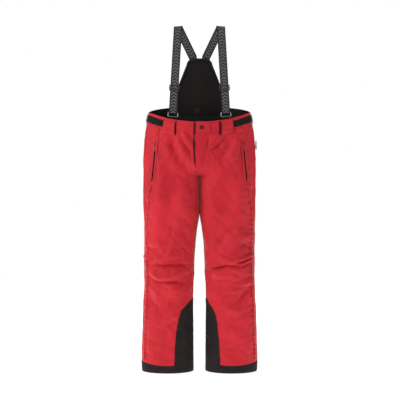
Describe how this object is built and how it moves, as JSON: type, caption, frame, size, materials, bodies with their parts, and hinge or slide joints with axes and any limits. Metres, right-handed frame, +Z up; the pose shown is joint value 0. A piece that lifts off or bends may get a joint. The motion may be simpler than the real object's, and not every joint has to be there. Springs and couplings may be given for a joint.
{
  "type": "ski pants",
  "caption": "Padded ski trousers with a snapped fly, zipped hip pockets, hook-and-loop waist tabs, a raised back bib and adjustable shoulder straps.",
  "frame": {"origin": "middle of the waist opening, level with its top edge at the side seams", "axes": "+Z up the body, -Y the front, +X the wearer's left, which is the right as seen from the front"},
  "size_m": [0.3816, 0.158, 1.1366],
  "materials": {
    "shell_cloth": "plain-weave polyester shell with a soft sheen",
    "keeper_cloth": "the same cloth, doubled and in shade",
    "wadding": "polyester wadding",
    "lining_cloth": "smooth taffeta",
    "hook_tape": "hook-and-loop tape",
    "zip_tape": "woven zip tape with a nylon coil",
    "gunmetal": "dark plated",
    "steel": "polished",
    "bib_cloth": "dull black softshell",
    "trim_cloth": "tough black coated cloth",
    "webbing": "woven elastic webbing",
    "buckle_plastic": "moulded black",
    "gaiter_cloth": "light coated nylon",
    "label_cloth": "woven white tag"
  },
  "bodies": {
    "root": {"front_panel_left": "shell_cloth", "front_panel_right": "shell_cloth", "back_panel_left": "shell_cloth", "back_panel_right": "shell_cloth", "wadding_left": "wadding", "wadding_right": "wadding", "lining_left": "lining_cloth", "lining_right": "lining_cloth", "waistband_front_left": "shell_cloth", "waistband_front_right": "shell_cloth", "waistband_back": "shell_cloth", "waistband_facing": "lining_cloth", "waistband_underlap": "shell_cloth", "fly_shield": "lining_cloth", "fly_zip_tape": "zip_tape", "snap_stud": "steel", "belt_loop_left": "shell_cloth", "belt_loop_right": "shell_cloth", "belt_loops_back": "shell_cloth", "tab_base_left": "hook_tape", "tab_base_right": "hook_tape", "tab_keeper_left": "keeper_cloth", "tab_keeper_right": "keeper_cloth", "loop_patch_left": "hook_tape", "loop_patch_right": "hook_tape", "pocket_welt_left": "keeper_cloth", "pocket_welt_right": "keeper_cloth", "pocket_zip_left": "zip_tape", "pocket_zip_right": "zip_tape", "pocket_bag_left": "lining_cloth", "pocket_bag_right": "lining_cloth", "back_bib": "bib_cloth", "bib_binding": "trim_cloth", "strap_left": "webbing", "strap_right": "webbing", "strap_ring_left": "steel", "strap_ring_right": "steel", "ring_anchor_left": "webbing", "ring_anchor_right": "webbing", "scuff_guard_left": "trim_cloth", "scuff_guard_right": "trim_cloth", "hem_band_left": "trim_cloth", "hem_band_right": "trim_cloth", "gaiter_left": "gaiter_cloth", "gaiter_right": "gaiter_cloth", "side_label": "label_cloth"},
    "fly_flap": {"waistband_overlap": "shell_cloth", "fly_flap": "shell_cloth", "snap_cap": "gunmetal", "snap_socket": "steel"},
    "fly_slider": {"fly_zip_slider": "steel", "fly_zip_pull": "steel"},
    "left_tab": {"waist_tab_left": "hook_tape"},
    "right_tab": {"waist_tab_right": "hook_tape"},
    "left_pocket_slider": {"pocket_slider_left": "gunmetal"},
    "right_pocket_slider": {"pocket_slider_right": "gunmetal"},
    "left_pocket_pull": {"pocket_pull_left": "gunmetal"},
    "right_pocket_pull": {"pocket_pull_right": "gunmetal"},
    "left_strap_slide": {"strap_slide_left": "buckle_plastic"},
    "right_strap_slide": {"strap_slide_right": "buckle_plastic"}
  },
  "joints": [
    {"name": "fly_flap_open", "type": "hinge", "parent": "root", "child": "fly_flap", "pos_m": [0.029, -0.0709, -0.09682], "axis": [0, 0.0434, 0.9991], "range_deg": [0, 100]},
    {"name": "fly_zip", "type": "slide", "parent": "root", "child": "fly_slider", "axis": [0, -0.0434, -0.9991], "range_m": [0, 0.078]},
    {"name": "left_tab_peel", "type": "hinge", "parent": "root", "child": "left_tab", "pos_m": [-0.17186, -0.00832, -0.02088], "axis": [-0.2232, -0.0116, -0.9747], "range_deg": [0, 95]},
    {"name": "left_pocket_zip", "type": "slide", "parent": "root", "child": "left_pocket_slider", "axis": [-0.0935, -0.0449, -0.9946], "range_m": [0, 0.105]},
    {"name": "left_pull_flip", "type": "hinge", "parent": "left_pocket_slider", "child": "left_pocket_pull", "pos_m": [-0.14241, -0.04435, -0.10886], "axis": [-0.8756, 0.4792, 0.0607], "range_deg": [0, 150]},
    {"name": "left_strap_adjust", "type": "slide", "parent": "root", "child": "left_strap_slide", "axis": [0.0532, 0.1111, 0.9924], "range_m": [-0.06, 0.1]},
    {"name": "right_tab_peel", "type": "hinge", "parent": "root", "child": "right_tab", "pos_m": [0.17186, -0.00832, -0.02088], "axis": [-0.2232, 0.0116, 0.9747], "range_deg": [0, 95]},
    {"name": "right_pocket_zip", "type": "slide", "parent": "root", "child": "right_pocket_slider", "axis": [0.0935, -0.0449, -0.9946], "range_m": [0, 0.105]},
    {"name": "right_pull_flip", "type": "hinge", "parent": "right_pocket_slider", "child": "right_pocket_pull", "pos_m": [0.14241, -0.04435, -0.10886], "axis": [-0.8756, -0.4792, -0.0607], "range_deg": [0, 150]},
    {"name": "right_strap_adjust", "type": "slide", "parent": "root", "child": "right_strap_slide", "axis": [-0.0532, 0.1111, 0.9924], "range_m": [-0.06, 0.1]}
  ]
}
